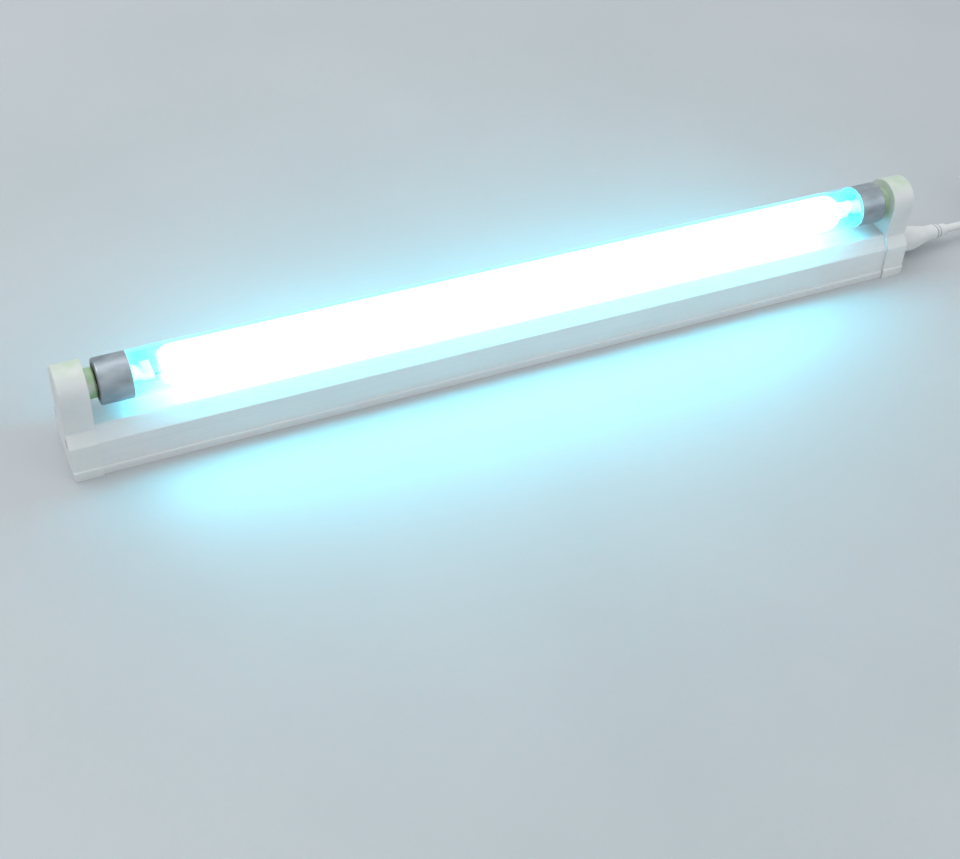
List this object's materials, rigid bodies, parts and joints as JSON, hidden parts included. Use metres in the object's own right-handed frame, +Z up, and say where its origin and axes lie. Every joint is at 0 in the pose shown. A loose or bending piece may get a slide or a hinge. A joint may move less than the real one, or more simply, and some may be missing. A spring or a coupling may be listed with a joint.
{
  "type": "uv-c tube lamp",
  "caption": "Slim batten lamp: a lit quartz UV-C tube plugged in between arched end caps on a white plastic housing that holds the ballast, with a plug-in mains cord.",
  "frame": {"origin": "on the surface that the batten stands on, below the middle of the tube", "axes": "+X along the tube towards the end where the cord plugs in, +Z up from the surface to the tube"},
  "size_m": [0.5192, 0.0313, 0.0354],
  "materials": {
    "housing_plastic": "satin",
    "plate_plastic": "matte",
    "end_plastic": "satin",
    "quartz": "polished",
    "stem_glass": "polished",
    "cap_aluminium": "satin",
    "disc_insulation": "matte",
    "pin_metal": "polished",
    "lead_nickel": "satin",
    "cathode_tungsten": "satin",
    "contact_bronze": "satin",
    "wire_insulation": "matte",
    "screw_steel": "plated",
    "board_laminate": "matte",
    "inlet_brass": "polished",
    "ferrite": "matte",
    "winding_tape": "satin",
    "film_dip": "gloss",
    "component_black": "matte",
    "toroid_coat": "matte",
    "can_sleeve": "gloss",
    "fuse_coat": "matte",
    "cord_plastic": "satin",
    "connector_plastic": "satin",
    "tie_plastic": "satin",
    "blade_metal": "plated"
  },
  "bodies": {
    "root": {"housing": "housing_plastic", "base_plate": "plate_plastic", "left_end_cap": "end_plastic", "right_end_cap": "end_plastic", "quartz_tube": "quartz", "left_stem": "stem_glass", "right_stem": "stem_glass", "left_lamp_cap": "cap_aluminium", "right_lamp_cap": "cap_aluminium", "left_cap_disc": "disc_insulation", "right_cap_disc": "disc_insulation", "left_lamp_pins": "pin_metal", "right_lamp_pins": "pin_metal", "left_lead_ins": "lead_nickel", "right_lead_ins": "lead_nickel", "left_cathode": "cathode_tungsten", "right_cathode": "cathode_tungsten", "left_contacts": "contact_bronze", "right_contacts": "contact_bronze", "left_lead_wires": "wire_insulation", "right_lead_wires": "wire_insulation", "left_end_screws": "screw_steel", "right_end_screws": "screw_steel", "ballast_board": "board_laminate", "inlet_pins": "inlet_brass", "connector_sockets": "inlet_brass", "choke_core": "ferrite", "choke_winding": "winding_tape", "film_capacitors": "film_dip", "transistors": "component_black", "rectifier_diodes": "component_black", "drive_toroid": "toroid_coat", "smoothing_capacitor": "can_sleeve", "fuse_resistor": "fuse_coat", "cord": "cord_plastic", "cord_hank": "cord_plastic", "cord_tail": "cord_plastic", "cord_connector": "connector_plastic", "mains_plug": "connector_plastic", "cord_tie": "tie_plastic", "plug_blades": "blade_metal"}
  },
  "joints": []
}
